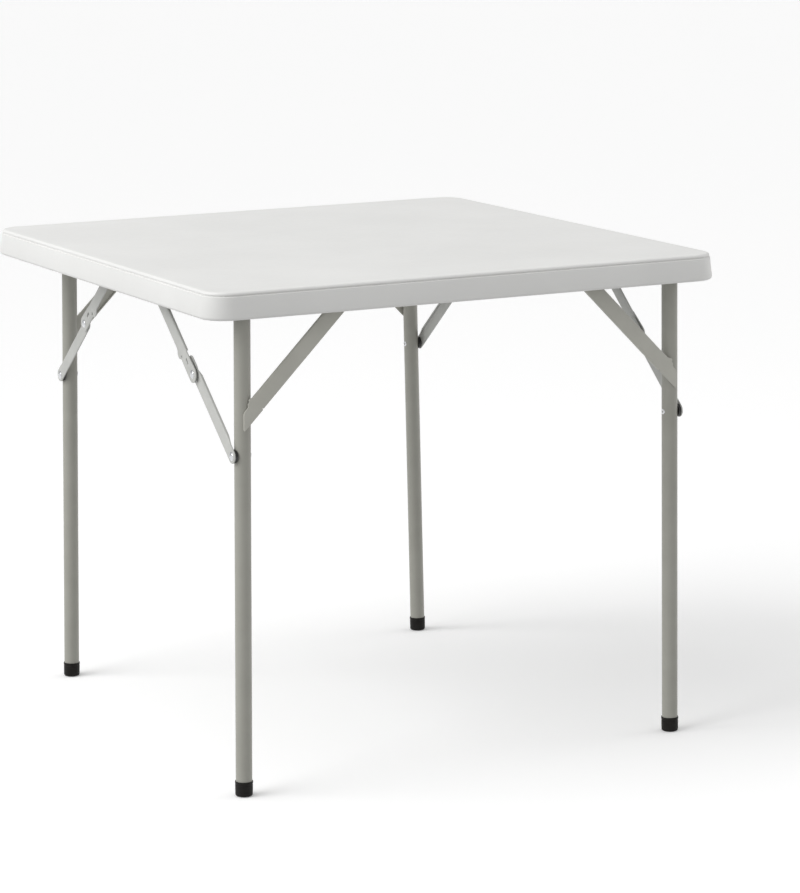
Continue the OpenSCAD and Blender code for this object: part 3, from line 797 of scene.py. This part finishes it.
for left, rear in CORNERS:
    rank, hand = names(left, rear)
    brace = brace_facts(rear)
    inner = brace.lower_face - LINK_T
    bm = bmesh.new()
    turned(bm, knee_profile(brace.upper_face - inner), crosswise(inner, *brace.knee), segments=40)
    add_piece(f"{rank}_{hand}_knee_pin", bm, zinc, f"{rank}_{hand}_upper",
              [f"{rank}_{hand}_knee_rivet"], left, rear)
    bm = bmesh.new()
    pin = [(0, 0), (PIN_R, 0), (PIN_R, LINK_T), *dome(LINK_T)]
    turned(bm, pin, crosswise(inner, *brace.rivet), segments=40)
    add_piece(f"{rank}_{hand}_leg_pin_head", bm, zinc, f"{rank}_{hand}_lower",
              [f"{rank}_{hand}_link_rivet"], left, rear)
print("knee rivets span", round((brace.upper_face - inner) * 1000, 1), "mm of links and collar")

# %% Tubular rivets through the legs, each with a rolled ring on the inner side of its leg
RING_REACH = 2.9 * MM
RING_R = 4.4 * MM


def tubular_profile(ring_z):
    """From the bore's floor, over the rolled ring, and along the shank to its outer end at zero."""
    bore = [(0, ring_z + 0.8 * MM), (1.7 * MM, ring_z + 0.6 * MM), (2.0 * MM, ring_z - 0.3 * MM)]
    ring = [(2.5 * MM, ring_z - 0.65 * MM), (3.5 * MM, ring_z - 0.6 * MM), (4.2 * MM, ring_z - 0.2 * MM)]
    ring += [(RING_R, ring_z + 0.4 * MM), (RING_R, ring_z + 1.6 * MM), (PIN_R, ring_z + 1.8 * MM)]
    return [*bore, *ring, (PIN_R, -0.3 * MM), (PIN_R - 0.3 * MM, 0), (0, 0)]


for rear in (False, True):
    rank = names(False, rear)[0]
    lo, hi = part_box(f"{rank}_leg_rivets")
    shape = tubular_profile(-2 * leg_line(rear)[2] - RING_REACH)
    bm = bmesh.new()
    for side in (1, -1):
        line = Matrix.Translation((side * hi.x, -abs(lo.y + hi.y) / 2, (lo.z + hi.z) / 2))
        turned(bm, shape, line @ Matrix.Rotation(side * math.pi / 2, 4, "Y"), segments=36)
    add_piece(f"{rank}_tubular_rivets", bm, zinc, f"{rank}_frame", [f"{rank}_leg_rivets"], rear=rear)
print("tubular rivets set")

# %% [markdown]
# ## Corner braces
# A corner brace is a strip of sheet with both long edges folded in.  Its lower end lies flat on
# the front of the leg, cut upright a little past the leg's centre with a small wavy notch above,
# and is welded there.  Its top end is cut level and welded to the cross tube's gusset.

# %% Outline of a corner brace, inboard and up from where its centre line meets the leg's
BRACE_W, BRACE_T, BRACE_LIP = 24 * MM, 1.8 * MM, 4.4 * MM
BRACE_DROP, BRACE_GAP = 184 * MM, 0.4 * MM
CUT = -3.2 * MM
FLAT_END = 26 * MM
DIAG = math.sqrt(0.5)
REACH = BRACE_W / 2 / DIAG
TRIM = 2.0 * MM / DIAG
STEP = 1 * MM
NOTCH_MM = [
    (12.0, 12.0), (8.6, 10.8), (5.4, 10.0), (3.6, 7.6), (4.6, 4.6), (2.2, 1.8), (3.0, -1.8), (0.4, -5.2),
    (-1.8, -7.4),
]


def brace_outline(rise):
    """Up the lower edge, across the level top, and down the upper edge to the notch."""
    lower = [
        (CUT, CUT - REACH + STEP), (CUT + STEP, CUT - REACH + STEP), (FLAT_END, FLAT_END - REACH),
        (FLAT_END + STEP - TRIM / 2, FLAT_END + STEP - REACH + TRIM / 2),
    ]
    level = [(rise + REACH - TRIM, rise), (rise - REACH + TRIM, rise)]
    upper = [
        (FLAT_END + TRIM / 2 - STEP, FLAT_END + REACH - TRIM / 2 - STEP),
        (FLAT_END - 2 * STEP, FLAT_END - 2 * STEP + REACH),
    ]
    notch = [(u * MM, v * MM + REACH) for u, v in NOTCH_MM]
    return [*lower, *level, *upper, *notch, (CUT, -9.8 * MM + REACH)]


print("brace outline has", len(brace_outline(0.1)), "points")

# %% Where a corner brace lies
def brace_place(rear):
    """Where the centre lines of brace and leg meet, on the leg's front, with the height left above."""
    foot, head, radius = leg_line(rear)
    z = TOP_Z - BRACE_DROP
    x = foot.x + (head.x - foot.x) * z / head.z
    return Vector((x, foot.y - radius - BRACE_GAP, z)), head.z - z


def brace_maps(at):
    """Two maps to the world: (inboard, up, out) for the sheet and (along, across, out) for its lips."""
    def upright(inboard, up, out):
        return at + Vector((-inboard, -out, up))

    def slanted(along, across, out):
        return upright((along - across) * DIAG, (along + across) * DIAG, out)

    return upright, slanted


print("front corner brace meets its leg at", [round(c, 4) for c in brace_place(False)[0]])

# %% Corner braces
UPPER_START, LOWER_START = 26.5 * MM, 27 * MM
BRACE_SOFT = 0.5 * MM
BRACE_LIP_RUN = (1 * MM, 2 * MM)
for left, rear in CORNERS:
    rank, hand = names(left, rear)
    at, rise = brace_place(rear)
    upright, slanted = brace_maps(at)
    bm = bmesh.new()
    pressed(bm, [brace_outline(rise)], BRACE_T, BRACE_SOFT, upright)
    for edge_v, start in ((BRACE_W / 2, UPPER_START), (-BRACE_W / 2, LOWER_START)):
        stop = rise / DIAG - edge_v - STEP
        folded_lip(bm, start, stop, edge_v, BRACE_LIP, BRACE_T, slanted, BRACE_LIP_RUN)
    add_piece(f"{rank}_{hand}_corner_strut", bm, brace_lit_copy_of_frame_paint, f"{rank}_frame",
              [f"{rank}_{hand}_corner_brace"], left, rear)
print("corner braces rise", round(rise * 1000, 1), "mm from the leg")

# %% Welds at the foot of each corner brace
BEAD_R = 0.9 * MM
for left, rear in CORNERS:
    rank, hand = names(left, rear)
    at, rise = brace_place(rear)
    beside = at + Vector((0.3 * MM - CUT, 0, 0))
    low, high = -1.5 * MM - REACH, REACH - 10.5 * MM
    bm = bmesh.new()
    bead(bm, beside + Vector((0, 0, low)), beside + Vector((0, 0, high)), BEAD_R)
    add_piece(f"{rank}_{hand}_brace_weld", bm, brace_lit_copy_of_frame_paint, f"{rank}_frame", (), left, rear)
print("brace welds", round((high - low) * 1000, 1), "mm long")

# %% [markdown]
# ## Carried-over pieces
# The rails, gussets, screws, pivot pins, washers and plugs already have their true shape, so they
# keep it and only get a finish.

# %% Finishes for the pieces that keep their shape
kept = {
    frame_paint: ["left_rail", "right_rail", "front_gussets", "rear_gussets"],
    zinc: ["rail_screws", "brace_pivot_pins"],
    nylon: ["front_leg_washers", "rear_leg_washers"],
    black_cap: ["front_axle_plugs", "rear_axle_plugs", "front_leg_caps", "rear_leg_caps"],
}
for finish_used, nodes in kept.items():
    for node in nodes:
        piece = frame["nodes"][node]
        piece.data.materials.clear()
        piece.data.materials.append(finish_used)
print("kept", sum(len(nodes) for nodes in kept.values()), "pieces as they are")

# %% [markdown]
# ## Floor and light
# A wide pale floor is the whole background, because the camera looks down.  It glows a little and
# throws no light back up, so it stays white while the underside keeps its shade.  A broad sun from
# the left gives the bright left rim and the darker front, a weak one from the right lifts the far
# sides, a panel overhead lights the near half of the top, and an even sky fills the rest.

# %% Floor
FLOOR_HALF = 60
FLOOR_GLOW = 0.13

floor_bm = bmesh.new()
bmesh.ops.create_grid(floor_bm, x_segments=1, y_segments=1, size=FLOOR_HALF)
floor_mesh = bpy.data.meshes.new("floor")
floor_bm.to_mesh(floor_mesh)
floor_bm.free()
floor = bpy.data.objects.new("floor", floor_mesh)
bpy.context.scene.collection.objects.link(floor)
floor.visible_diffuse = False
pale = bpy.data.materials.new("pale_floor")
pale.use_nodes = True
paper = pale.node_tree.nodes["Principled BSDF"]
paper.inputs["Base Color"].default_value = (0.96, 0.96, 0.96, 1)
paper.inputs["Roughness"].default_value = 0.9
paper.inputs["Specular IOR Level"].default_value = 0.1
paper.inputs["Emission Color"].default_value = (1, 1, 1, 1)
paper.inputs["Emission Strength"].default_value = FLOOR_GLOW
floor_mesh.materials.append(pale)
print("floor laid,", 2 * FLOOR_HALF, "m across")

# %% Light
SKY = 0.54

world = bpy.data.worlds.new("studio")
bpy.context.scene.world = world
world.use_nodes = True
sky = world.node_tree.nodes["Background"]
sky.inputs["Color"].default_value = (1, 1, 1, 1)
sky.inputs["Strength"].default_value = SKY


def hang(lamp, towards, place=(0, 0, 0)):
    """Puts a lamp at a place, so that its light comes from the direction towards."""
    holder = bpy.data.objects.new(lamp.name, lamp)
    holder.location = place
    holder.rotation_mode = "QUATERNION"
    holder.rotation_quaternion = Vector(towards).to_track_quat("Z", "Y")
    bpy.context.scene.collection.objects.link(holder)


def sun(name, towards, strength, spread):
    lamp = bpy.data.lights.new(name, "SUN")
    lamp.energy = strength
    lamp.angle = math.radians(spread)
    hang(lamp, towards)


def panel(name, place, strength, size):
    """A square panel of light, aimed at the middle of the top."""
    lamp = bpy.data.lights.new(name, "AREA")
    lamp.energy = strength
    lamp.size = size
    hang(lamp, Vector(place) - Vector((0, 0, TOP_Z)), place)


sun("window", towards=(-0.80, 0.05, 0.52), strength=1.6, spread=50)
sun("fill", towards=(0.95, -0.12, 0.25), strength=0.6, spread=40)
panel("near_panel", place=(-1.2, 0.2, 3.0), strength=18, size=2.0)
bpy.context.scene.view_settings.view_transform = "Standard"
print("lights set")
